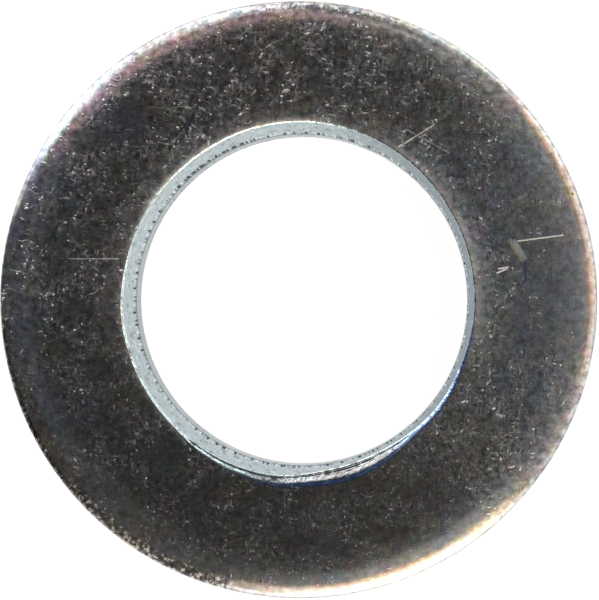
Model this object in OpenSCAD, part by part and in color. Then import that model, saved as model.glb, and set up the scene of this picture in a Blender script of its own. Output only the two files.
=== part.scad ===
// Flat washer for an M16 bolt, pierced and then blanked out of steel strip. Both punches enter at the
// lower face, so the bore's die roll is on the lower face and the outer edge's is on the upper one.
// The bore's axis is Z and the lower face lies on Z = 0. All lengths are in millimetres.

/* [Ring] */
// Outside diameter, over the smooth sheared band
outer_d = 30; // [26:0.5:40]
// Bore diameter, at the smooth sheared band
bore_d = 17; // [12:0.5:20]
// Thickness of the strip that the ring is cut from
thickness = 3; // [2.2:0.1:5]

/* [Outer edge] */
// Radial width of the die roll that rounds the upper face into the edge
outer_roll_w = 0.55; // [0.2:0.05:1]
// Depth of the same die roll below the upper face
outer_roll_h = 0.4; // [0.2:0.05:0.8]
// Height of the smooth sheared band under the die roll
outer_land_h = 0.9; // [0.4:0.05:1.2]
// How far the fractured band leans in by the time it reaches the lower face
outer_lean = 0.25; // [0.05:0.05:0.5]
// Radius left by tumbling on the outer edge of the lower face
outer_break = 0.08; // [0.02:0.01:0.15]

/* [Bore] */
// Radial width of the die roll that rounds the lower face into the bore
bore_roll_w = 0.4; // [0.2:0.05:0.8]
// Height of the same die roll above the lower face
bore_roll_h = 0.3; // [0.1:0.05:0.6]
// Height of the smooth sheared band above the die roll
bore_land_h = 0.75; // [0.4:0.05:1.2]
// How far the fractured band opens out by the time it reaches the upper face
bore_lean = 0.33; // [0.05:0.01:0.6]
// Radius left by tumbling on the bore's edge at the upper face
bore_break = 0.15; // [0.05:0.01:0.3]

/* [Hidden] */
$fn = 180;
arc_steps = 10;
outer_r = outer_d / 2;
bore_r = bore_d / 2;
zinc_plate = [0.58, 0.60, 0.61];

// Points of an elliptic arc in the section's plane, where x is the radius and y the height
function elliptic_arc(centre, radii, from, to) = [
    for (step = [0 : arc_steps])
        let (a = from + (to - from) * step / arc_steps)
        [centre[0] + radii[0] * cos(a), centre[1] + radii[1] * sin(a)]
];

// Outer side of the section, upwards: broken edge, fractured band, smooth band, die roll
function outer_side() =
    let (
        foot_r = outer_r - outer_lean,
        roll_z = thickness - outer_roll_h
    )
    concat(
        elliptic_arc([foot_r - outer_break, outer_break], [outer_break, outer_break], 270, 360),
        [[outer_r, roll_z - outer_land_h]],
        elliptic_arc([outer_r - outer_roll_w, roll_z], [outer_roll_w, outer_roll_h], 0, 90)
    );

// Bore side of the section, downwards: broken edge, fractured band, smooth band, die roll
function bore_side() =
    let (
        mouth_r = bore_r + bore_lean,
        break_z = thickness - bore_break
    )
    concat(
        elliptic_arc([mouth_r + bore_break, break_z], [bore_break, bore_break], 90, 180),
        [[bore_r, bore_roll_h + bore_land_h]],
        elliptic_arc([bore_r + bore_roll_w, bore_roll_h], [bore_roll_w, bore_roll_h], 180, 270)
    );

// The whole washer: one ring of steel, turned from its section about the bore's axis
module flat_washer() {
    color(zinc_plate)
        rotate_extrude()
            polygon(concat(outer_side(), bore_side()));
}

flat_washer();
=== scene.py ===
"""Looks of a flat washer: one ring of zinc-plated steel with the marks of punching, plating and tumbling.

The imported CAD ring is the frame. One detailed mesh stands for it: a section with a die roll, a smooth
sheared band, a ragged fractured band and a broken edge on each side, swept round the bore's axis while
its sizes wander as they do on a punched part. Lengths are in millimetres until a mesh is written, and
angles in degrees anticlockwise from +X, seen from above.
"""

import math
from types import SimpleNamespace

import bpy
import numpy as np
from mathutils import Matrix, Vector, noise
from mathutils.bvhtree import BVHTree


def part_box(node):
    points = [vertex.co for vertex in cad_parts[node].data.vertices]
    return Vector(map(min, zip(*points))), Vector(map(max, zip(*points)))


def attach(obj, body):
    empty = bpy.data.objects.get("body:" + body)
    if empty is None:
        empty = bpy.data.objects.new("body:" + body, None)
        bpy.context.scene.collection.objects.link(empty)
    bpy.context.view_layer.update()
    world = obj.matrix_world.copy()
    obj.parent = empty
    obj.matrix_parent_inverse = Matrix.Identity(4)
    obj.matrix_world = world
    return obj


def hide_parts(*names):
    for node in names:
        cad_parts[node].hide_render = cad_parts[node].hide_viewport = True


MM = 0.001
NODE = "flat_washer"

# Image points, in pixels of the photograph, x to the right and y down
IMAGE_W, IMAGE_H = 599, 600
LONG_SCRATCH = ((518, 241), (563, 235))
CROSS_SCRATCH_UP = ((399, 147), (434, 125))
CROSS_SCRATCH_DOWN = ((407, 130), (449, 153))
SCUFF = ((511, 241), (522, 259))
LEFT_SCRATCH = ((69, 259), (118, 259))
DARK_PATCH = (121, 124)
RIM_PIT = (572.5, 194)

# Camera: it looks straight down from beside the axis, as the even circles and the bore's walls ask for,
# and the shift is what is left once its aim is settled
CAMERA_SITE = (6.18, -0.55, 62.0)
CAMERA_AIM = (6.18, -0.55, 3.0)
CAMERA_LENS = 71.0
CAMERA_SHIFT = (-0.2043, 0.0178)
SENSOR_WIDTH = 36.0

# Mesh density: whole steps round the ring, few enough that the export keeps every triangle
AROUND = 1040

# Sizes of the punched section, in millimetres: W is across, H is up, R is from the axis
OUTER_ROLL_W, OUTER_ROLL_H = 1.9, 0.45
OUTER_LAND_FOOT = 1.30  # below the upper face
LEAN_W = 0.25
BROKEN_W, BROKEN_H = 0.08, 0.09
BORE_ROLL_W, BORE_ROLL_H = 0.40, 0.22
BORE_LAND_TOP = 1.20
MOUTH_R = 8.815
MOUTH_DROP = 0.055
LIP_W, LIP_H = 0.05, 0.055
FOLD_W, FOLD_H = 0.47, 0.20
TORN_DEPTH = 0.035

# Sectors of the ring: centre, half width and softness of the ends, in degrees
RAISED = (25, 42, 36)
STAINED = (305, 50, 30)


# ---------------------------------------------------------------- frame and camera

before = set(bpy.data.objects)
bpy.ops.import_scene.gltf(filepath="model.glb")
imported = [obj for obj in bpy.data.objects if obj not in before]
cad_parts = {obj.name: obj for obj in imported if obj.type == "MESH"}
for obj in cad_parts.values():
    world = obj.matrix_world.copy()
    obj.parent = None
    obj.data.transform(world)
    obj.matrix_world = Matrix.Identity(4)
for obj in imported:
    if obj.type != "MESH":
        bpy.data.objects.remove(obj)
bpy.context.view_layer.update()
NODE_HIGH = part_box(NODE)[1]
OUTER_R = NODE_HIGH.x / MM
THICKNESS = NODE_HIGH.z / MM
BORE_R = min(math.hypot(v.co.x, v.co.y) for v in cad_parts[NODE].data.vertices) / MM


def look_from(site, aim):
    """World matrix of a camera at site that looks at aim, with +Y of the row frame up in the picture."""
    ahead = (Vector(aim) - Vector(site)).normalized()
    right = ahead.cross(Vector((0, 1, 0))).normalized()
    up = right.cross(ahead)
    matrix = Matrix((right, up, -ahead)).transposed().to_4x4()
    matrix.translation = Vector(site) * MM
    return matrix


def make_camera():
    data = bpy.data.cameras.new("camera")
    data.sensor_fit = "AUTO"
    data.sensor_width = SENSOR_WIDTH
    data.lens = CAMERA_LENS
    data.shift_x, data.shift_y = CAMERA_SHIFT
    data.clip_start = 0.001
    data.clip_end = 10.0
    camera = bpy.data.objects.new("camera", data)
    bpy.context.scene.collection.objects.link(camera)
    camera.matrix_world = look_from(CAMERA_SITE, CAMERA_AIM)
    bpy.context.scene.camera = camera
    return camera


def pixel_ray(camera, point):
    """Start and direction, in the row frame, of the ray through an image point."""
    long_side = max(IMAGE_W, IMAGE_H)
    x = point[0] - IMAGE_W / 2 + camera.data.shift_x * long_side
    y = IMAGE_H / 2 - point[1] + camera.data.shift_y * long_side
    z = -long_side * camera.data.lens / camera.data.sensor_width
    direction = camera.matrix_world.to_3x3() @ Vector((x, y, z))
    return camera.matrix_world.translation.copy(), direction.normalized()


def to_pixel(camera, place):
    """Image point at which a place in the row frame shows."""
    long_side = max(IMAGE_W, IMAGE_H)
    local = camera.matrix_world.inverted() @ Vector(place)
    scale = long_side * camera.data.lens / camera.data.sensor_width / -local.z
    x = IMAGE_W / 2 - camera.data.shift_x * long_side + local.x * scale
    y = IMAGE_H / 2 + camera.data.shift_y * long_side - local.y * scale
    return x, y


def place_on(tree, camera, point):
    """Place where the ray through an image point meets the surface, or the place nearest to the ray."""
    start, direction = pixel_ray(camera, point)
    hit = tree.ray_cast(start, direction)[0]
    if hit is not None:
        return hit
    reach = (Vector((0, 0, THICKNESS * MM)) - start).length
    return tree.find_nearest(start + direction * reach)[0]


# ---------------------------------------------------------------- the ring's mesh

THETA = np.arange(AROUND) * 2 * math.pi / AROUND


def ripple(seed, first, last, fall=1.0):
    """A closed wave round the ring between -1 and 1, made of whole waves from first to last."""
    rng = np.random.default_rng(seed)
    waves = np.arange(first, last + 1)
    phases = rng.uniform(0, 2 * math.pi, waves.size)
    sizes = rng.normal(size=waves.size) / waves**fall
    wave = (sizes[:, None] * np.cos(waves[:, None] * THETA + phases[:, None])).sum(0)
    return wave / np.abs(wave).max()


def sector(centre, half_width, softness):
    """1 inside a sector of the ring and 0 outside it, with soft ends. All in degrees."""
    away = np.abs((np.degrees(THETA) - centre + 180) % 360 - 180)
    share = np.clip((half_width + softness / 2 - away) / softness, 0, 1)
    return share * share * (3 - 2 * share)


def ramp(value, low, high):
    """Share of the way from low to high, kept between 0 and 1."""
    return min(1, max(0, (value - low) / (high - low)))


def nicks(seed, count, depth, width):
    """Small dents round the ring: count of them, up to depth deep and about width degrees wide."""
    rng = np.random.default_rng(seed)
    total = np.zeros(AROUND)
    for _ in range(count):
        away = (np.degrees(THETA) - rng.uniform(0, 360) + 180) % 360 - 180
        deep = depth * rng.uniform(0.3, 1)
        wide = width * rng.uniform(0.5, 1.5)
        total = np.maximum(total, deep * np.exp(-((away / wide) ** 2)))
    return total


class Section:
    """The ring's section as a list of lines round the ring, each with a radius, a height and marks.

    The functions that draw a part of it call it s.
    """

    MARKS = ("torn", "crack", "groove", "lip", "land", "worn", "raised", "rolled", "edge", "drag", "blue")

    def __init__(self):
        self.radius = []
        self.height = []
        self.marks = {name: [] for name in self.MARKS}

    def line(self, radius, height, **marks):
        self.radius.append(np.broadcast_to(radius, AROUND).astype(float))
        self.height.append(np.broadcast_to(height, AROUND).astype(float))
        for name in self.MARKS:
            self.marks[name].append(np.broadcast_to(marks.get(name, 0.0), AROUND).astype(float))


def shares(count):
    """Shares from 0 to 1, both left out, a little closer together near both ends."""
    t = np.arange(1, count + 1) / (count + 1)
    return t - 0.08 * np.sin(2 * math.pi * t)


def upper_face(s, inner, drop, outer):
    """The flat face. Round the mouth it is worn down, and on the right the punch left it raised instead."""
    blue = sector(*STAINED)
    raised = sector(*RAISED)
    worn = drop / drop.max()
    for offset, fall, mark, rise, tint in (
        (0.02, 0.85, 1.0, 1.00, 0.9),
        (0.07, 0.55, 0.9, 1.00, 0.5),
        (0.14, 0.25, 0.7, 0.80, 0.1),
        (0.24, 0.05, 0.3, 0.45, 0.0),
        (0.36, 0.00, 0.0, 0.10, 0.0),
        (0.48, 0.00, 0.0, 0.00, 0.0),
    ):
        rubbed = np.maximum(worn * mark, raised * rise)
        s.line(inner + offset, THICKNESS - drop * fall, worn=rubbed, raised=raised * rise, blue=blue * tint)
    flat_from = inner + offset
    for share in shares(6):
        s.line(flat_from + (outer - flat_from) * share, THICKNESS)


def outer_roll(s, width, depth):
    """The blanking roll: it falls away slowly, then turns down into the smooth band in a tight corner."""
    power = 3.5
    steps = 18
    corner = 0.055 - 0.04 * sector(208, 40, 30)
    slope = np.arctan(power * depth / width)
    reach = width - corner * (1 - np.sin(slope))
    drag = 0.05 + 0.30 * sector(122, 30, 20) + 0.25 * sector(20, 25, 20)
    top = sector(86, 17, 10)
    low_left = sector(238, 20, 14)
    plain_left = sector(212, 32, 20)
    for step in range(1, steps + 1):
        share = (step / steps) ** 0.7
        outer_half = ramp(share, 0.55, 0.75)
        rim_band = ramp(share, 0.74, 0.80) * ramp(share, 0.98, 0.92)
        battered = np.maximum(low_left * outer_half, top * rim_band)
        s.line(
            OUTER_R - width + reach * share,
            THICKNESS - depth * share**power,
            drag=np.maximum(drag * share, battered),
            rolled=share * (1 - 0.75 * plain_left),
        )
    drag = np.maximum(drag, low_left)
    for part in (0.2, 0.4, 0.6, 0.8, 1.0):
        angle = slope + (math.pi / 2 - slope) * part
        across = corner * (np.sin(angle) - np.sin(slope))
        down = corner * (np.cos(slope) - np.cos(angle))
        # painted shade: the corner's last lines are marked edge, a dark line standing for the shadowed
        # paper that the corner reflects
        edge = ramp(part, 0.6, 1.0)
        s.line(OUTER_R - width + reach + across, THICKNESS - depth - down, drag=drag, rolled=1, edge=edge)
    return THICKNESS - depth - corner * np.cos(slope)


def outer_side(s, roll_foot):
    """Smooth sheared band, then the fractured band that leans in, then the broken lower edge."""
    land_foot = THICKNESS - OUTER_LAND_FOOT + 0.07 * ripple(9, 2, 40, 0.7) + 0.03 * ripple(10, 60, 300, 0.2)
    scrape = 0.006 * (1 + ripple(11, 80, 500, 0.1))
    # the smooth band carries a little of the same painted shade (edge)
    for share in (0.08, 0.36, 0.68, 0.94):
        radius = OUTER_R - scrape * ramp(share, 0, 0.25)
        s.line(radius, roll_foot + (land_foot - roll_foot) * share, edge=0.3)
    tear = 0.02 + 0.02 * ripple(12, 100, 420, 0.2)
    s.line(OUTER_R - scrape - tear, land_foot - 0.03, torn=1, crack=1)
    s.line(OUTER_R - 0.03 - tear, land_foot - 0.14, torn=1, crack=1)
    torn_r, torn_h = OUTER_R - 0.05, land_foot - 0.24
    foot_r = OUTER_R - LEAN_W
    for share in (0, *shares(9)):
        s.line(torn_r + (foot_r - torn_r) * share, torn_h + (BROKEN_H - torn_h) * share, torn=1)
    dents = nicks(13, 40, 0.05, 0.5)
    for turn in (0, 30, 60, 90):
        a = math.radians(turn)
        across = BROKEN_W * (1 - math.cos(a)) + dents * math.cos(a)
        s.line(foot_r - across, BROKEN_H * (1 - math.sin(a)) + 0.5 * dents * math.cos(a), lip=1)
    return foot_r - BROKEN_W


def lower_face(s, outer, inner):
    for share in shares(6):
        s.line(outer + (inner - outer) * share, 0.0)


def bore_side(s, roll_w, wall_r, wall_top):
    """Piercing roll, smooth sheared band, the crack, and the fractured band up to the bore's mouth."""
    roll_h = BORE_ROLL_H + 0.08 * np.cos(THETA) + 0.02 * ripple(15, 1, 8)
    roll_r = BORE_R + roll_w
    land_r = BORE_R + 0.01 * (1 + np.cos(THETA))
    steps = 7
    for step in range(steps):
        turn = math.pi / 2 * step / steps
        fall = 1 - math.cos(turn)
        s.line(roll_r + (land_r - roll_r) * math.sin(turn), roll_h * fall, land=fall)
    land_top = BORE_LAND_TOP + 0.06 * ripple(16, 2, 40, 0.7) + 0.04 * ripple(17, 60, 320, 0.2)
    scrape = 0.005 * (1 + ripple(18, 80, 400, 0.1))
    for share in (0.0, 0.1, 0.4, 0.75, 0.95):
        s.line(land_r + scrape * ramp(share, 0, 0.25), roll_h + (land_top - roll_h) * share, land=1)
    # the crack opens here and there, beside flakes that catch the light; at the upper left it is one long
    # low line, and at the right it hardly opens. The flakes are painted glints: they take the lip's pale
    # colour
    long_crack = sector(122, 14, 8)
    long_part = 1.5 * long_crack - sector(5, 55, 30) - 0.4 * sector(222, 20, 12)
    open_crack = np.clip(5 * ripple(19, 60, 420, 0.3) - 0.4 + long_part, 0, 1)
    tall = np.clip(4 * ripple(21, 40, 400, 0.2), 0, 1) * (1 - 0.8 * long_crack)
    glint_flake = np.clip(4 * ripple(20, 60, 500, 0.2) - 0.5, 0, 1) * (1 - open_crack)
    tear = 0.012 + 0.08 * open_crack
    s.line(land_r + scrape + tear, land_top + 0.02, torn=1 - glint_flake, lip=glint_flake, crack=open_crack)
    s.line(land_r + 0.01 + tear, land_top + 0.15, torn=1 - glint_flake, lip=glint_flake, crack=open_crack * tall)
    s.line(land_r + 0.02 + tear, land_top + 0.30, torn=1 - 0.8 * glint_flake, lip=0.8 * glint_flake)
    wall_foot = land_top + 0.48
    foot_r = land_r + 0.05
    for share in (0, *shares(10)):
        s.line(foot_r + (wall_r - foot_r) * share, wall_foot + (wall_top - wall_foot) * share, torn=1)


# The mouth's lines: share across and share up where the lip is plain, then out and down in millimetres
# where the punch folded it double, with the marks of groove (painted shade), lip (partly painted highlight)
# and blue stain there
MOUTH = (
    (0.00, 0.00, 0.000, 0.200, 0.0, 0.6, 0.0),
    (0.10, 0.16, 0.035, 0.165, 0.0, 1.0, 0.0),
    (0.25, 0.35, 0.085, 0.135, 0.4, 1.0, 0.0),
    (0.35, 0.45, 0.115, 0.145, 1.0, 0.4, 0.0),
    (0.45, 0.55, 0.145, 0.150, 1.0, 0.4, 0.0),
    (0.55, 0.65, 0.175, 0.135, 0.4, 1.0, 0.0),
    (0.70, 0.79, 0.260, 0.075, 0.0, 1.0, 0.0),
    (0.85, 0.91, 0.340, 0.020, 0.0, 1.0, 0.2),
    (0.95, 0.97, 0.420, 0.004, 0.0, 0.4, 0.9),
)


def bore_mouth(s, wall_r, lip_w, lip_h, drop, double, spread):
    """The lip between the bore's wall and the upper face: plain, or folded double with a groove."""
    # at the right the lip is not pale, and a painted shade line of the groove's colour with some blue runs
    # along the mouth
    right_shade_line = 0.8 * sector(22, 44, 30)
    stain = sector(*STAINED)
    for across, up, out, down, groove, lip, blue in MOUTH:
        offset = lip_w * across * (1 - double) + out * spread * double
        fall = (drop + lip_h * (1 - up)) * (1 - double) + down * double
        bright = 1 - double + lip * double
        s.line(
            wall_r + offset,
            THICKNESS - fall,
            groove=np.maximum(groove * double, 0.5 * right_shade_line * across),
            lip=bright * (1 - right_shade_line),
            blue=np.maximum(blue * double, across * (1 - double)) * stain + 0.5 * right_shade_line * across,
        )


def ring_section():
    """The whole section: upper face, outer side, lower face and bore, and back to the upper face."""
    s = Section()
    # radius of the bore's mouth, and of the torn wall below it
    mouth_r = MOUTH_R + 0.05 * sector(76, 22, 30) - 0.09 * sector(147, 29, 26) - 0.04 * sector(195, 25, 20)
    mouth_r += 0.075 * sector(252, 22, 24) - 0.04 * sector(5, 32, 16) + 0.010 * ripple(6, 4, 30)
    wall_r = mouth_r - 0.055 * sector(285, 60, 30) - 0.185 * sector(289, 20, 26)
    # where the lip is folded double, where it is wide, and how far the face falls to it elsewhere
    double = np.maximum(sector(273, 31, 18), sector(244, 12, 5))
    low_side = sector(316, 20, 20)
    left_side = sector(205, 35, 30)
    fold_end = sector(300, 5, 24)
    plain = 1 - np.maximum(double, np.maximum(low_side, sector(*RAISED)))
    drop = MOUTH_DROP * (0.1 + 0.9 * plain) * (1 - 0.6 * sector(195, 40, 30))
    lip_w = LIP_W + 0.02 * sector(170, 60, 60) + 0.03 * left_side + 0.10 * low_side + 0.22 * fold_end
    lip_w += 0.010 * ripple(3, 3, 60, 0.6) + nicks(5, 26, 0.05, 0.7)
    lip_h = LIP_H + 0.05 * low_side + 0.09 * left_side + 0.08 * fold_end
    spread = 0.80 + 0.38 * sector(274, 16, 20) + 0.50 * sector(292, 12, 24) + 0.06 * ripple(4, 3, 40, 0.5)
    spread -= 0.30 * sector(236, 6, 12)
    inner = wall_r + lip_w * (1 - double) + FOLD_W * spread * double
    wall_top = THICKNESS - (drop + lip_h) * (1 - double) - FOLD_H * double - 0.02
    # the outer roll is deepest at the right, a little below the middle
    outer_roll_h = OUTER_ROLL_H + 0.06 * np.cos(THETA + math.radians(15)) + 0.015 * ripple(8, 2, 7)
    bore_roll_w = BORE_ROLL_W + 0.05 * ripple(14, 1, 8)
    upper_face(s, inner, drop, OUTER_R - OUTER_ROLL_W)
    roll_foot = outer_roll(s, OUTER_ROLL_W, outer_roll_h)
    foot_r = outer_side(s, roll_foot)
    lower_face(s, foot_r, BORE_R + bore_roll_w)
    bore_side(s, bore_roll_w, wall_r, wall_top)
    bore_mouth(s, wall_r, lip_w, lip_h, drop, double, spread)
    return s


def ring_places(section):
    """Corner places of the mesh, as an array of lines by steps by 3, roughened where the steel tore."""
    radius = np.array(section.radius)
    height = np.array(section.height)
    grain_scale, fall, gap, octaves = 3.2, 0.9, 2.1, 3
    for i, torn in enumerate(section.marks["torn"]):
        if not torn.any():
            continue
        inward = 1 if radius[i].mean() < (OUTER_R + BORE_R) / 2 else -1
        for j in range(AROUND):
            x = radius[i, j] * math.cos(THETA[j])
            y = radius[i, j] * math.sin(THETA[j])
            rough = noise.fractal(Vector((x, y, height[i, j])) * grain_scale, fall, gap, octaves)
            radius[i, j] += inward * TORN_DEPTH * min(1, max(0, 0.5 + 0.5 * rough))
    return np.stack((radius * np.cos(THETA), radius * np.sin(THETA), height), axis=-1)


def make_ring(section):
    places = ring_places(section)
    count = len(section.radius)
    index = np.arange(count * AROUND).reshape(count, AROUND)
    ahead = np.roll(index, -1, axis=1)
    below = np.roll(index, -1, axis=0)
    below_ahead = np.roll(below, -1, axis=1)
    quads = np.stack((index, below, below_ahead, ahead), axis=-1).reshape(-1, 4)
    mesh = bpy.data.meshes.new("washer")
    mesh.from_pydata((places.reshape(-1, 3) * MM).tolist(), [], quads.tolist())
    mesh.shade_smooth()
    for name, marks in section.marks.items():
        attribute = mesh.attributes.new(name, "FLOAT", "POINT")
        attribute.data.foreach_set("value", np.array(marks, np.float32).ravel())
    mesh.update()
    washer = bpy.data.objects.new("washer", mesh)
    bpy.context.scene.collection.objects.link(washer)
    return washer


# ---------------------------------------------------------------- node trees

class Graph:
    """Builds a node tree by nested calls. Each call but node and feed returns an output socket."""

    def __init__(self, tree):
        self.tree = tree
        tree.nodes.clear()

    def node(self, kind, inputs=None, **settings):
        made = self.tree.nodes.new(kind)
        for name, value in settings.items():
            setattr(made, name, value)
        for name, value in (inputs or {}).items():
            self.feed(made.inputs[name], value)
        return made

    def feed(self, socket, value):
        if isinstance(value, bpy.types.NodeSocket):
            self.tree.links.new(value, socket)
        else:
            socket.default_value = value

    def math(self, operation, *values, clamp=False):
        made = self.node("ShaderNodeMath", operation=operation, use_clamp=clamp)
        for socket, value in zip(made.inputs, values):
            self.feed(socket, value)
        return made.outputs[0]

    def vector(self, operation, *values, out="Vector"):
        made = self.node("ShaderNodeVectorMath", operation=operation)
        for socket, value in zip(made.inputs, values):
            self.feed(socket, value)
        return made.outputs[out]

    def remap(self, value, low, high, to_low=0.0, to_high=1.0, smooth=True):
        made = self.node("ShaderNodeMapRange", interpolation_type="SMOOTHSTEP" if smooth else "LINEAR")
        names = ("Value", "From Min", "From Max", "To Min", "To Max")
        for name, given in zip(names, (value, low, high, to_low, to_high)):
            self.feed(made.inputs[name], given)
        return made.outputs["Result"]

    def mix(self, share, first, second):
        made = self.node("ShaderNodeMix", data_type="RGBA")
        self.feed(made.inputs["Factor"], share)
        colours = [socket for socket in made.inputs if socket.type == "RGBA"]
        self.feed(colours[0], first)
        self.feed(colours[1], second)
        return [socket for socket in made.outputs if socket.type == "RGBA"][0]

    def noise(self, place, scale, detail=2.0, roughness=0.5, moved=None, out="Fac"):
        """A noise between 0 and 1. Where it is moved, it differs from its neighbours of the same scale."""
        if moved:
            place = self.vector("ADD", place, moved)
        inputs = {"Vector": place, "Scale": scale, "Detail": detail, "Roughness": roughness}
        return self.node("ShaderNodeTexNoise", inputs).outputs[out]

    def scaled(self, vector, scale):
        inputs = {"Vector": vector, "Scale": scale}
        return self.node("ShaderNodeVectorMath", inputs, operation="SCALE").outputs["Vector"]

    def along(self, vector, direction):
        """How far a vector reaches along a direction."""
        return self.vector("DOT_PRODUCT", vector, direction, out="Value")

    def axis(self, vector, name):
        return self.node("ShaderNodeSeparateXYZ", {"Vector": vector}).outputs[name]

    def degrees(self, operation, value):
        """Angle from ARCSINE or ARCCOSINE, in degrees."""
        return self.math("MULTIPLY", self.math(operation, value), 180 / math.pi)

    def attribute(self, name):
        return self.node("ShaderNodeAttribute", attribute_name=name).outputs["Fac"]


def turned(g, place, turn, seed):
    """The place turned about the axis by turn degrees, and moved by seed so that patterns differ."""
    inputs = {"Vector": place, "Angle": math.radians(turn)}
    made = g.node("ShaderNodeVectorRotate", inputs, rotation_type="Z_AXIS")
    return g.vector("ADD", made.outputs["Vector"], (seed * 13.7, seed * 7.9, 0.0))


def flecks(g, place, turn, length, width, spacing, share, seed):
    """Sparse flecks of the given length and width in millimetres; share of the cells hold one."""
    aspect = (length / width) ** 0.5
    cell = (1 / (spacing * aspect), aspect / spacing, 1.0)
    cells = g.node(
        "ShaderNodeTexVoronoi",
        {"Vector": g.vector("MULTIPLY", turned(g, place, turn, seed), cell), "Scale": 1.0},
        voronoi_dimensions="2D",
        feature="F1",
    )
    chance = g.node("ShaderNodeSeparateColor", {"Color": cells.outputs["Color"]})
    kept = g.math("GREATER_THAN", chance.outputs["Red"], 1 - share)
    size = g.remap(chance.outputs["Blue"], 0.0, 1.0, 0.45, 1.0, smooth=False)
    size = g.math("MULTIPLY_ADD", g.math("MULTIPLY", size, kept), 0.5 * width * aspect / spacing, 0.0001)
    near = g.remap(g.math("DIVIDE", cells.outputs["Distance"], size), 1.3, 0.3)
    strength = g.remap(chance.outputs["Green"], 0.0, 1.0, 0.35, 1.0, smooth=False)
    return g.math("MULTIPLY", near, strength)


def stroke(g, place, start, end, width, wobble):
    """Mask of a scratch between two places of the frame; width is in millimetres."""
    start, end = Vector(start) / MM, Vector(end) / MM
    along = end - start
    offset = g.vector("SUBTRACT", place, tuple(start))
    share = g.math("DIVIDE", g.along(offset, tuple(along)), along.length_squared)
    share = g.math("MULTIPLY", share, 1.0, clamp=True)
    gap = g.vector("DISTANCE", offset, g.scaled(tuple(along), share), out="Value")
    gap = g.math("MULTIPLY_ADD", g.math("SUBTRACT", wobble, 0.5), width, gap)
    return g.remap(gap, width, width * 0.25)


def worn_marks(g, place):
    """Marks of tumbling against other parts: dots, dashes mostly along X and Y, and long hairlines."""
    bend = g.vector("SUBTRACT", g.noise(place, 2.2, 1.0, out="Color"), (0.5, 0.5, 0.5))
    bent = g.vector("MULTIPLY_ADD", bend, (0.35, 0.35, 0.0), place)
    total = 0.0
    for turn, length, width, spacing, share, strength, seed in (
        (0, 0.145, 0.135, 0.50, 0.26, 1.00, 1),
        (0, 0.120, 0.110, 0.34, 0.26, 0.80, 2),
        (2, 0.400, 0.130, 0.56, 0.20, 0.70, 3),
        (91, 0.380, 0.130, 0.56, 0.22, 0.65, 4),
        (24, 0.500, 0.120, 0.74, 0.18, 0.70, 5),
        (128, 0.460, 0.120, 0.74, 0.16, 0.60, 6),
        (8, 1.800, 0.055, 1.10, 0.10, 0.30, 7),
        (68, 1.500, 0.055, 1.20, 0.10, 0.25, 8),
        (151, 1.700, 0.055, 1.25, 0.10, 0.28, 9),
    ):
        mark = g.math("MULTIPLY", flecks(g, bent, turn, length, width, spacing, share, seed), strength)
        total = g.math("MAXIMUM", total, mark)
    return total


def curls(g, place, scale, seed):
    """Short curly strokes: they follow the middle level of a noise, where a second noise lets them show."""
    moved = g.vector("ADD", place, (seed * 5.3, seed * 2.9, seed * 1.7))
    away = g.math("ABSOLUTE", g.math("SUBTRACT", g.noise(moved, scale, 1.5), 0.5))
    kept = g.remap(g.noise(moved, scale * 1.3, 1.0), 0.46, 0.58)
    return g.math("MULTIPLY", g.remap(away, 0.080, 0.010), kept)


def smudges(g, place, stretch, seed):
    """Short soft smudges, drawn out one way: they lie where a stretched noise runs high."""
    moved = g.vector("MULTIPLY_ADD", place, stretch, (seed * 4.1, seed * 6.7, seed * 1.3))
    return g.remap(g.noise(moved, 1.0, 1.0), 0.54, 0.70)


# ---------------------------------------------------------------- the zinc

# In this section g is the material's graph, and p holds the patterns that are laid out in it.

def surface_patterns(g):
    """What the whole surface shares: its places in millimetres, the mesh's marks, and plain noises."""
    p = SimpleNamespace(**{name: g.attribute(name) for name in Section.MARKS})
    p.place = g.vector("MULTIPLY", g.node("ShaderNodeTexCoord").outputs["Object"], (1 / MM,) * 3)
    p.flat = g.vector("MULTIPLY", p.place, (1, 1, 0))
    p.radius = g.vector("LENGTH", p.flat, out="Value")
    p.outward = g.vector("NORMALIZE", p.flat)
    p.sound = g.math("SUBTRACT", 1.0, p.torn)
    p.open_face = g.remap(p.rolled, 0.60, 0.25, 0.05, 1.0)
    p.fine = g.noise(p.place, 8.0, 2.0, 0.7)
    p.coarse = g.noise(p.place, 2.8, 2.5, 0.6, moved=(9.0, 4.0, 1.0))
    p.dark = g.noise(p.place, 2.9, 2.5, 0.6, moved=(2.0, 15.0, 6.0))
    p.medium = g.noise(p.place, 1.6, 3.0, 0.6)
    p.broad = g.noise(p.place, 0.42, 1.5, moved=(3.0, 8.0, 0.0))
    across = g.noise(g.vector("MULTIPLY", p.place, (1.8, 7.0, 4.0)), 1.0, 1.0, 0.6)
    upright = g.noise(g.vector("MULTIPLY", p.place, (7.0, 1.8, 4.0)), 1.0, 1.0, 0.6)
    p.weave = g.math("MULTIPLY", g.math("ADD", across, upright), 0.5)
    return p


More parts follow.
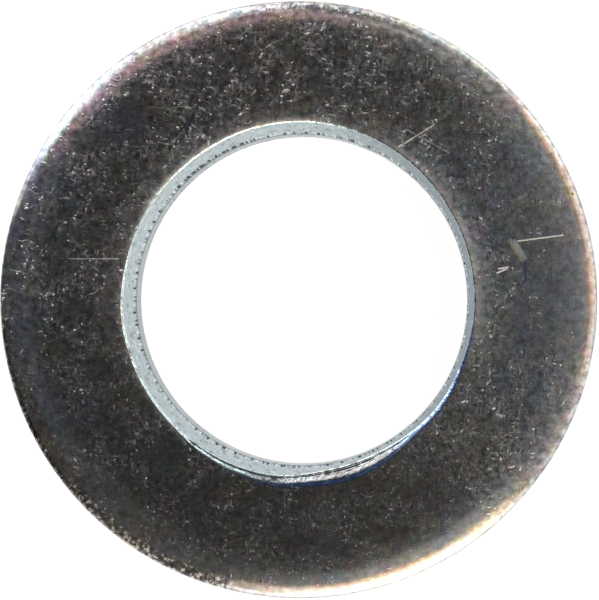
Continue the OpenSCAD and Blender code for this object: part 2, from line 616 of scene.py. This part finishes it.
def add_tumbling(g, p, patch):
    """How much tumbling marked each place, and its marks. The dark patch, a painted shade, was spared a
    part of it.
    """
    # painted shade: a dark patch round the given place
    apart = g.vector("DISTANCE", p.place, tuple(patch / MM), out="Value")
    shaded = g.remap(g.math("MULTIPLY_ADD", g.noise(p.place, 0.9), 1.6, apart), 2.6, 1.3)
    p.shaded = g.math("MULTIPLY", shaded, g.remap(p.radius, 13.9, 13.2))
    # the upper left is marked most and the foot least; a band beside the bore at the upper right and the
    # face's lower right stand out from that
    busy = g.remap(g.along(p.flat, (-0.50, 0.87, 0)), -12.0, 13.0, 0.42, 1.0, smooth=False)
    upper_right = g.remap(g.along(p.flat, (0.64, 0.77, 0)), -1.0, 6.0)
    bore_band = g.math("MULTIPLY", g.remap(p.radius, 11.8, 10.4), upper_right)
    lower_right = g.remap(g.along(p.outward, (0.87, -0.50, 0)), 0.90, 0.97)
    busy = g.math("MAXIMUM", busy, g.math("MULTIPLY", bore_band, 0.88))
    p.busy = g.math("MAXIMUM", busy, g.math("MULTIPLY", lower_right, 0.86))
    clusters = g.remap(g.noise(p.place, 0.7, 2.5, 0.6), 0.36, 0.62, 0.20, 1.0)
    clusters = g.math("MULTIPLY", clusters, g.math("MULTIPLY_ADD", p.shaded, -0.6, 1.0))
    clusters = g.math("MULTIPLY", clusters, p.busy)
    shown = g.math("MULTIPLY", clusters, g.remap(p.rolled, 0.9, 0.5))
    p.marks = g.math("MULTIPLY", worn_marks(g, p.place), shown)
    curly = g.math("MAXIMUM", curls(g, p.place, 2.3, 1), curls(g, p.place, 3.1, 2))
    strokes = g.math("MAXIMUM", g.math("MULTIPLY", curly, 0.6), smudges(g, p.place, (3.0, 7.0, 1.0), 3))
    strokes = g.math("MAXIMUM", strokes, smudges(g, p.place, (7.0, 3.0, 1.0), 4))
    p.strokes = g.math("MAXIMUM", strokes, g.math("MULTIPLY", smudges(g, p.place, (6.0, 6.0, 1.0), 5), 0.7))
    p.clusters = g.math("MULTIPLY", clusters, p.open_face)


def add_film(g, p):
    """The dark film, whole in the middle of the face and rubbed thin at the rim and the upper bore. It is
    partly painted shade: it darkens the face's colour in place of the dark room that the face reflects, and
    keeps the top and the right of the rim darker.
    """
    ragged_radius = g.math("MULTIPLY_ADD", g.math("SUBTRACT", p.medium, 0.5), 1.2, p.radius)
    upper = g.remap(g.axis(p.place, "Y"), -8.5, 2.5)
    bare_bore = g.math("MULTIPLY", g.remap(ragged_radius, 10.3, 9.1), upper)
    kept_top = g.remap(g.along(p.outward, (-0.31, 0.95, 0)), 0.88, 0.97)
    kept_right = g.remap(g.along(p.outward, (0.99, -0.14, 0)), 0.75, 0.95)
    bare_rim = g.remap(ragged_radius, 12.5, 13.6)
    bare_rim = g.math("MULTIPLY", bare_rim, g.math("MULTIPLY_ADD", kept_top, -0.8, 1.0))
    bare_rim = g.math("MULTIPLY", bare_rim, g.math("MULTIPLY_ADD", kept_right, -0.35, 1.0))
    # painted shade as well as film: how much the face's colour is darkened
    p.film = g.math("SUBTRACT", 1.0, g.math("MAXIMUM", g.math("MULTIPLY", bare_bore, 1.35), bare_rim))


def add_placed_marks(g, p, scratches, scuff, pit):
    """What the photograph shows one by one: the scratches, two short nicks, the scuff and the pit."""
    nick = scuff[0] + Vector((-0.70, -1.60, 0)) * MM
    short_nicks = []
    for rise in (0, 0.22):
        start = nick + Vector((0.3 * rise, rise, 0)) * MM
        short_nicks.append((start, start + Vector((0.50, 0.22 - 0.6 * rise, 0)) * MM, 0.038, 0.75 - rise))
    for start, end, width, depth in scratches + short_nicks:
        line = stroke(g, p.place, start, end, width, g.noise(p.place, 1.6, 1.0))
        p.marks = g.math("MAXIMUM", p.marks, g.math("MULTIPLY", line, depth))
    ragged = g.noise(p.place, 2.5)
    step_right = Vector((0.17, 0.03, 0)) * MM
    shade_top = scuff[1] + Vector((0.16, -0.20, 0)) * MM
    shade_end = shade_top + Vector((0, -0.9, 0)) * MM
    p.scuff_warm = stroke(g, p.place, scuff[0], scuff[1], 0.20, ragged)
    p.scuff_cool = stroke(g, p.place, scuff[0] + step_right, scuff[1] + step_right, 0.13, ragged)
    p.scuff_shade = stroke(g, p.place, shade_top, shade_end, 0.13, ragged)
    p.pitted = stroke(g, p.place, pit, pit + Vector((0.02, 0, 0)) * MM, 0.09, p.fine)


def add_rolled_rim(g, p):
    """Streaks along the fall of the rolled edge, and where it was battered, dark and pale spots with no
    relief: painted shade for each hollow and painted highlights for each boss.
    """
    rim = g.scaled(p.outward, 90.0)
    drawn = g.noise(g.vector("MULTIPLY_ADD", p.flat, (1.6, 1.6, 0.0), rim), 1.0, 2.0, 0.6)
    lumps = g.math("MULTIPLY_ADD", drawn, 0.25, g.math("MULTIPLY", g.noise(p.place, 3.8, 1.5, 0.6), 0.75))
    battered = g.remap(p.drag, 0.40, 0.75)
    p.streaks = g.math("MULTIPLY", drawn, p.drag)
    p.hollows = g.math("MULTIPLY", g.remap(lumps, 0.51, 0.43), battered)
    p.bosses = g.math("MULTIPLY", g.remap(lumps, 0.54, 0.60), battered)


def zinc_roughness(g, p):
    """Smooth plating, made rougher by each kind of wear, and rougher still where the steel tore."""
    grains = g.math("MAXIMUM", p.strokes, g.math("MULTIPLY", g.remap(p.weave, 0.50, 0.64), 0.5))
    smooth = g.math("MULTIPLY_ADD", g.math("MULTIPLY", grains, p.clusters), 0.24, 0.12)
    for pattern, gain in (
        (g.remap(p.fine, 0.4, 0.65), 0.04),
        (g.remap(p.broad, 0.3, 0.7), 0.05),
        (p.marks, 0.42),
        (p.worn, 0.22),
        (g.math("MAXIMUM", p.scuff_warm, p.scuff_cool), 0.22),
        (p.bosses, 0.30),
    ):
        smooth = g.math("MULTIPLY_ADD", pattern, gain, smooth)
    rough = g.math("MULTIPLY_ADD", p.coarse, 0.3, 0.25)
    return g.math("ADD", g.math("MULTIPLY", smooth, p.sound), g.math("MULTIPLY", rough, p.torn), clamp=True)


def face_colour(g, p):
    """The bare plating's colour: a slow change of tint, a mottle, the film that is partly painted shade,
    and a dark and light grain.
    """
    tint = g.remap(g.noise(p.place, 0.30, moved=(31.0, 17.0, 5.0)), 0.35, 0.65)
    mottle = g.noise(p.place, 1.3, 2.0, 0.6, moved=(5.0, 11.0, 2.0), out="Color")
    colour = g.mix(tint, (0.52, 0.53, 0.565, 1), (0.60, 0.575, 0.54, 1))
    colour = g.vector("MULTIPLY", colour, g.vector("MULTIPLY_ADD", mottle, (0.6,) * 3, (0.7,) * 3))
    # painted shade: the film darkens the face's colour
    colour = g.scaled(colour, g.math("MULTIPLY_ADD", p.film, -0.42, 1.0))
    tone = g.remap(p.dark, 0.34, 0.66, -0.50, 0.38, smooth=False)
    tone = g.math("MULTIPLY_ADD", tone, p.busy, 0.97)
    tone = g.math("MULTIPLY_ADD", g.math("SUBTRACT", p.weave, 0.5), 0.7, tone)
    return g.scaled(colour, g.math("ADD", g.math("MULTIPLY", tone, p.sound), p.torn))


def wall_colours_with_painted_shade(g, p):
    """Colours of the torn wall and of the smooth band, both darker towards the right, which is painted
    shade. The torn wall's pale patches are painted glint patches.
    """
    # painted shade: how far towards the darker right side a place lies
    side = g.remap(g.axis(p.place, "X"), -1.0, 9.0)
    wall = g.mix(side, (0.46, 0.54, 0.57, 1), (0.185, 0.245, 0.275, 1))
    painted_glints = g.mix(side, (0.70, 0.80, 0.84, 1), (0.42, 0.48, 0.50, 1))
    wall = g.mix(g.math("MULTIPLY", g.remap(p.coarse, 0.48, 0.70), 0.7), wall, painted_glints)
    wall = g.mix(g.math("MULTIPLY", g.remap(p.dark, 0.46, 0.34), 0.6), wall, (0.18, 0.23, 0.26, 1))
    return wall, g.mix(side, (0.28, 0.335, 0.36, 1), (0.18, 0.22, 0.26, 1))


def zinc_colour(g, p):
    """The face's colour under its layers, each with a mask, a strength and a colour."""
    wall, land = wall_colours_with_painted_shade(g, p)
    lip = g.math("MULTIPLY", p.lip, g.remap(p.dark, 0.34, 0.46))
    groove = g.math("MULTIPLY", p.groove, g.remap(p.dark, 0.62, 0.50, 0.35, 1.0))
    # painted shade: dark dots in the crack where it opens
    speckle = g.remap(g.noise(p.place, 3.6, 2.0, 0.6), 0.34, 0.44)
    crack_shade = g.math("MULTIPLY", speckle, g.remap(p.crack, 0.2, 0.55))
    colour = face_colour(g, p)
    for mask, strength, shade in (
        # painted shade: the dark bluish patch
        (p.shaded, 0.70, (0.28, 0.29, 0.38, 1)),
        (g.math("MULTIPLY", p.strokes, p.clusters), 0.50, (0.86, 0.87, 0.88, 1)),
        (p.worn, 0.40, (0.78, 0.75, 0.72, 1)),
        (p.marks, 1.00, (0.80, 0.92, 1.00, 1)),
        (p.scuff_shade, 0.70, (0.10, 0.11, 0.22, 1)),
        (p.scuff_warm, 0.65, (0.78, 0.73, 0.60, 1)),
        (p.scuff_cool, 0.70, (0.76, 0.84, 0.90, 1)),
        # painted shade in the rim's hollows and painted highlights on its bosses
        (p.hollows, 0.70, (0.12, 0.13, 0.16, 1)),
        (p.bosses, 0.70, (0.90, 0.92, 0.95, 1)),
        (p.torn, 1.00, wall),
        (p.land, 1.00, land),
        # partly painted highlight: the lip's pale colour, also on the flakes and the broken lower edge
        (lip, 1.00, (0.75, 0.95, 0.98, 1)),
        (p.blue, 0.90, (0.08, 0.22, 0.62, 1)),
        # painted shade: dark colour in the groove, along the right of the mouth and at the rim's outer
        # corner
        (groove, 1.00, (0.04, 0.05, 0.09, 1)),
        (p.edge, 1.00, (0.06, 0.06, 0.07, 1)),
        (crack_shade, 0.80, (0.03, 0.03, 0.035, 1)),
        (p.pitted, 1.00, (0.05, 0.03, 0.02, 1)),
    ):
        colour = g.mix(g.math("MULTIPLY", mask, strength), colour, shade)
    return colour


def zinc_height(g, p):
    """Height of the fine relief, in millimetres."""
    height = g.math("MULTIPLY_ADD", p.strokes, 0.002, g.math("MULTIPLY", p.coarse, 0.016))
    height = g.math("MULTIPLY", height, p.busy)
    height = g.math("MULTIPLY_ADD", p.medium, 0.010, height)
    height = g.math("MULTIPLY", height, p.open_face)
    for pattern, rise in (
        (p.broad, 0.030),
        (p.marks, 0.030),
        (p.streaks, 0.012),
        (p.raised, 0.030),
        (g.math("MULTIPLY", p.coarse, g.math("MAXIMUM", p.torn, p.lip)), 0.050),
    ):
        height = g.math("MULTIPLY_ADD", pattern, rise, height)
    return height


def zinc_material(scratches, scuff, pit, patch):
    """Zinc plating with a clear passivation: bright where rolled, satin where torn."""
    material = bpy.data.materials.new("zinc_plate")
    material.use_nodes = True
    g = Graph(material.node_tree)
    p = surface_patterns(g)
    add_tumbling(g, p, patch)
    add_film(g, p)
    add_placed_marks(g, p, scratches, scuff, pit)
    add_rolled_rim(g, p)
    bump = g.node("ShaderNodeBump", {"Strength": 1.0, "Distance": MM, "Height": zinc_height(g, p)})
    inputs = {
        "Base Color": zinc_colour(g, p),
        "Metallic": 1.0,
        "Roughness": zinc_roughness(g, p),
        "Normal": bump.outputs[0],
    }
    shader = g.node("ShaderNodeBsdfPrincipled", inputs)
    g.node("ShaderNodeOutputMaterial", {"Surface": shader.outputs[0]})
    return material


# ---------------------------------------------------------------- studio

# Soft panels of the tent round the table. Each has its azimuth, half width and side softness, the heights
# it reaches from and to with their softness, all in degrees, and its colour times its strength. What is
# below zero is light that the panel takes from the tent behind it.
PANELS = (
    # the bright warm front, its orange upper edge and the grey above it
    (285, 22, 24, -20, 36, 30, (3.20, 2.60, 1.95)),
    (287, 22, 14, 34, 48, 16, (0.45, 0.22, 0.04)),
    (282, 27, 60, 43, 70, 26, (0.40, 0.40, 0.39)),
    # the front's dimmer ends
    (253, 13, 8, -20, 42, 15, (0.85, 0.75, 0.63)),
    (323, 19, 10, -20, 43, 17, (0.28, 0.22, 0.15)),
    # the warm right side, redder above
    (13, 30, 10, -20, 40, 8, (0.14, -0.04, -0.16)),
    (13, 30, 10, -20, 25, 12, (0.80, 0.62, 0.50)),
    # the back: two low grey panels, and higher up a thin bright line in a faint panel
    (49, 15, 26, -20, 9, 22, (0.70, 0.70, 0.55)),
    (78, 22, 14, -20, 26, 14, (0.50, 0.50, 0.50)),
    (80, 18, 10, 46, 50, 4, (0.40, 0.40, 0.39)),
    (76, 18, 20, 34, 59, 16, (0.10, 0.11, 0.11)),
    # the window at the back left, white with pink above it
    (121, 27, 20, 34, 59, 16, (0.72, 0.46, 0.43)),
    (125, 26, 8, -20, 32, 26, (2.40, 2.40, 2.40)),
    # bluish light at the left, low and strong, then high and faint
    (151, 7, 8, -20, 30, 10, (0.34, 0.44, 0.58)),
    (170, 43, 60, 26, 70, 14, (0.012, 0.030, 0.055)),
)
# Softness of each panel's lower end, in degrees
PANEL_FOOT_SOFT = 12
# The tent's ceiling: its light, what that gains towards +X and towards +Y, a bluish patch overhead that
# fades out between these degrees from its middle, and the least light of the ceiling
CEILING = (0.078, 0.075, 0.070)
CEILING_GAIN_X = (0.52, 0.52, 0.52)
CEILING_GAIN_Y = (0.06, 0.06, 0.06)
OVERHEAD = (0.100, 0.115, 0.130)
OVERHEAD_AT = (0.13, 0.03, 0.991)
OVERHEAD_FROM, OVERHEAD_TO = 3, 15
DARKEST = (0.02, 0.02, 0.02)
# The white sweep behind the table fades out between these elevations, in degrees
SWEEP_FROM, SWEEP_TO = 11, 16
# The paper reaches this far each way, in millimetres, and its glow makes it white
PAPER_HALF = 1500
PAPER_COLOUR = (0.36, 0.36, 0.36, 1)
PAPER_GLOW = 0.90


def ceiling_light(g, direction):
    rightward = g.math("MAXIMUM", g.axis(direction, "X"), 0.0)
    light = g.vector("ADD", CEILING, g.scaled(CEILING_GAIN_X, rightward))
    light = g.vector("ADD", light, g.scaled(CEILING_GAIN_Y, g.axis(direction, "Y")))
    light = g.vector("MAXIMUM", light, DARKEST)
    off = g.degrees("ARCCOSINE", g.along(direction, OVERHEAD_AT))
    return g.vector("ADD", light, g.scaled(OVERHEAD, g.remap(off, OVERHEAD_TO, OVERHEAD_FROM)))


def panel_share(g, flat, elevation, azimuth, half, side_soft, low, high, soft):
    """Mask of one panel: flat is the direction laid down level, and all else is in degrees."""
    a = math.radians(azimuth)
    away = g.degrees("ARCCOSINE", g.along(flat, (math.cos(a), math.sin(a), 0)))
    beside = g.remap(away, half + side_soft / 2, half - side_soft / 2)
    above = g.remap(elevation, low - PANEL_FOOT_SOFT / 2, low + PANEL_FOOT_SOFT / 2)
    below = g.remap(elevation, high + soft / 2, high - soft / 2)
    return g.math("MULTIPLY", beside, g.math("MULTIPLY", above, below))


def make_world():
    world = bpy.data.worlds.new("studio")
    world.use_nodes = True
    bpy.context.scene.world = world
    g = Graph(world.node_tree)
    direction = g.node("ShaderNodeTexCoord").outputs["Generated"]
    elevation = g.degrees("ARCSINE", g.axis(direction, "Z"))
    flat = g.vector("NORMALIZE", g.vector("MULTIPLY", direction, (1, 1, 0)))
    light = ceiling_light(g, direction)
    light = g.mix(g.remap(elevation, SWEEP_TO, SWEEP_FROM), light, (1, 1, 1, 1))
    for *extent, colour in PANELS:
        light = g.vector("ADD", light, g.scaled(colour, panel_share(g, flat, elevation, *extent)))
    background = g.node("ShaderNodeBackground", {"Color": light, "Strength": 1.0})
    g.node("ShaderNodeOutputWorld", {"Surface": background.outputs[0]})


def stage_mesh(name, corners, faces):
    mesh = bpy.data.meshes.new(name)
    mesh.from_pydata([Vector(corner) * MM for corner in corners], [], faces)
    made = bpy.data.objects.new(name, mesh)
    bpy.context.scene.collection.objects.link(made)
    return made


def make_floor():
    """White paper under the washer. It keeps the shadow, and its glow shows only to the camera, in gloss
    and through glass."""
    corners = [(x * PAPER_HALF, y * PAPER_HALF, 0) for x, y in ((-1, -1), (1, -1), (1, 1), (-1, 1))]
    floor = stage_mesh("floor", corners, [(0, 1, 2, 3)])
    material = bpy.data.materials.new("paper")
    material.use_nodes = True
    g = Graph(material.node_tree)
    paper = g.node("ShaderNodeBsdfDiffuse", {"Color": PAPER_COLOUR})
    glow = g.node("ShaderNodeEmission", {"Color": (1, 1, 1, 1), "Strength": PAPER_GLOW})
    path = g.node("ShaderNodeLightPath")
    seen = g.math("MAXIMUM", path.outputs["Is Camera Ray"], path.outputs["Is Glossy Ray"])
    seen = g.math("MAXIMUM", seen, path.outputs["Is Transmission Ray"])
    both = g.node("ShaderNodeAddShader")
    g.feed(both.inputs[0], paper.outputs[0])
    g.feed(both.inputs[1], glow.outputs[0])
    chosen = g.node("ShaderNodeMixShader")
    g.feed(chosen.inputs[0], seen)
    g.feed(chosen.inputs[1], paper.outputs[0])
    g.feed(chosen.inputs[2], both.outputs[0])
    g.node("ShaderNodeOutputMaterial", {"Surface": chosen.outputs[0]})
    floor.data.materials.append(material)


def make_flag():
    """A curved card at the left: bluish, then dark with a black foot, then warm towards the front. Only
    the metal's reflections show it."""
    radius, low, high = 130, 0.5, 208
    first, last, steps = 164, 250, 26
    corners, faces = [], []
    for i in range(steps + 1):
        a = math.radians(first + (last - first) * i / steps)
        corners += [(radius * math.cos(a), radius * math.sin(a), z) for z in (low, high)]
        if i:
            faces.append((2 * i - 2, 2 * i - 1, 2 * i + 1, 2 * i))
    flag = stage_mesh("flag", corners, faces)
    material = bpy.data.materials.new("dark_card")
    material.use_nodes = True
    g = Graph(material.node_tree)
    place = g.node("ShaderNodeTexCoord").outputs["Object"]
    flat = g.vector("NORMALIZE", g.vector("MULTIPLY", place, (1, 1, 0)))
    along = g.along(flat, (-0.34, -0.94, 0))
    shade = g.mix(g.remap(along, 0.30, 0.60), (0.080, 0.088, 0.105, 1), (0.064, 0.061, 0.054, 1))
    rise = g.math("DIVIDE", g.axis(place, "Z"), MM)
    foot = g.math("MULTIPLY", g.remap(rise, 54.0, 32.0), g.remap(along, 0.25, 0.50))
    shade = g.mix(foot, shade, (0.015, 0.015, 0.013, 1))
    warm = g.mix(g.remap(rise, 150.0, 60.0), (0.100, 0.100, 0.100, 1), (0.150, 0.130, 0.105, 1))
    shade = g.mix(g.remap(along, 0.79, 0.91), shade, warm)
    glow = g.node("ShaderNodeEmission", {"Color": shade, "Strength": 1.0})
    g.node("ShaderNodeOutputMaterial", {"Surface": glow.outputs[0]})
    flag.data.materials.append(material)
    flag.visible_camera = False
    flag.visible_diffuse = False
    flag.visible_shadow = False


# ---------------------------------------------------------------- making it all

def write_points(camera, washer):
    count = len(washer.data.vertices) // AROUND
    shown = np.array([to_pixel(camera, washer.matrix_world @ v.co) for v in washer.data.vertices])
    shown = shown.reshape(count, AROUND, 2)


def main():
    scene = bpy.context.scene
    scene.view_settings.view_transform = "Standard"
    camera = make_camera()
    washer = make_ring(ring_section())
    bpy.context.view_layer.update()
    tree = BVHTree.FromObject(washer, bpy.context.evaluated_depsgraph_get())
    points = {
        "LONG_SCRATCH_START": LONG_SCRATCH[0],
        "LONG_SCRATCH_END": LONG_SCRATCH[1],
        "CROSS_SCRATCH_UP_START": CROSS_SCRATCH_UP[0],
        "CROSS_SCRATCH_UP_END": CROSS_SCRATCH_UP[1],
        "CROSS_SCRATCH_DOWN_START": CROSS_SCRATCH_DOWN[0],
        "CROSS_SCRATCH_DOWN_END": CROSS_SCRATCH_DOWN[1],
        "LEFT_SCRATCH_START": LEFT_SCRATCH[0],
        "LEFT_SCRATCH_END": LEFT_SCRATCH[1],
        "SCUFF_START": SCUFF[0],
        "SCUFF_END": SCUFF[1],
        "RIM_PIT": RIM_PIT,
        "DARK_PATCH": DARK_PATCH,
    }
    spots = {name: place_on(tree, camera, point) for name, point in points.items()}
    scratches = [
        (spots[f"{name}_START"], spots[f"{name}_END"], width, depth)
        for name, width, depth in (
            ("LONG_SCRATCH", 0.034, 0.46),
            ("CROSS_SCRATCH_UP", 0.036, 0.34),
            ("CROSS_SCRATCH_DOWN", 0.032, 0.34),
            ("LEFT_SCRATCH", 0.030, 0.24),
        )
    ]
    scuff = (spots["SCUFF_START"], spots["SCUFF_END"])
    washer.data.materials.append(zinc_material(scratches, scuff, spots["RIM_PIT"], spots["DARK_PATCH"]))
    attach(washer, "root")
    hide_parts(NODE)
    make_world()
    make_floor()
    make_flag()
    write_points(camera, washer)


main()
